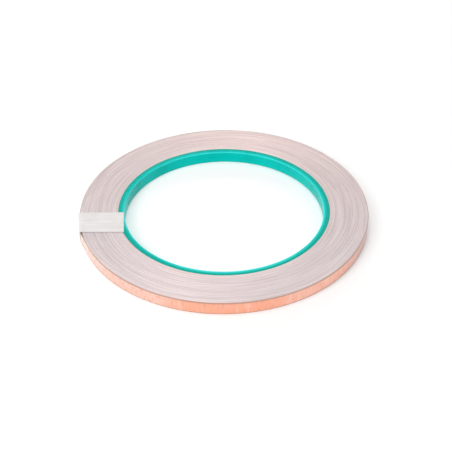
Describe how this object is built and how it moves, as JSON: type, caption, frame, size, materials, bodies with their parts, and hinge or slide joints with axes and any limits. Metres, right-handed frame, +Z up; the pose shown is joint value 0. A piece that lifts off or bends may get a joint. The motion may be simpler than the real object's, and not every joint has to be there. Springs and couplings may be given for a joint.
{
  "type": "copper foil tape roll",
  "caption": "Flat roll of narrow adhesive copper foil tape on a plastic ring core, its loose end held by a folded paper strip.",
  "frame": {"origin": "centre of the core's bore, in the plane that the roll rests on", "axes": "+Z up along the bore's axis; the retaining strip lies towards -X"},
  "size_m": [0.1107, 0.1101, 0.0051],
  "materials": {
    "core_plastic": "moulded teal plastic, satin gloss, edges rounded",
    "wound_edges": "edges of wound tape: white liner paper and copper foil in fine alternating lines",
    "liner_paper": "smooth white release paper",
    "adhesive": "clear acrylic adhesive coat",
    "copper": "bright rolled copper foil, faint ripples across it",
    "strip_paper": "off-white uncoated paper, faint lengthwise fibres"
  },
  "bodies": {
    "roll": {"core_ring": "core_plastic", "wound_tape": "wound_edges", "last_turn_liner": "liner_paper", "last_turn_adhesive": "adhesive", "last_turn_foil": "copper"},
    "loose_end": {"loose_end_liner": "liner_paper", "loose_end_adhesive": "adhesive", "loose_end_foil": "copper"},
    "strip": {"strip_leg": "strip_paper"},
    "panel": {"strip_panel": "strip_paper"}
  },
  "joints": [
    {"name": "strip_pull", "type": "slide", "parent": "roll", "child": "strip", "axis": [-0.9882, -0.153, 0], "range_m": [0, 0.02]},
    {"name": "panel_lift", "type": "hinge", "parent": "strip", "child": "panel", "pos_m": [-0.05465, -0.00935, 0.00514], "axis": [0.153, -0.9882, 0], "range_deg": [0, 120]},
    {"name": "end_swing", "type": "hinge", "parent": "roll", "child": "loose_end", "pos_m": [-0.0512, -0.02036, 0], "axis": [0, 0, 1], "range_deg": [0, 25]}
  ],
  "couplings": [
    {"joint": "end_swing", "follows": "strip_pull", "rad_per_m": 21.8}
  ]
}
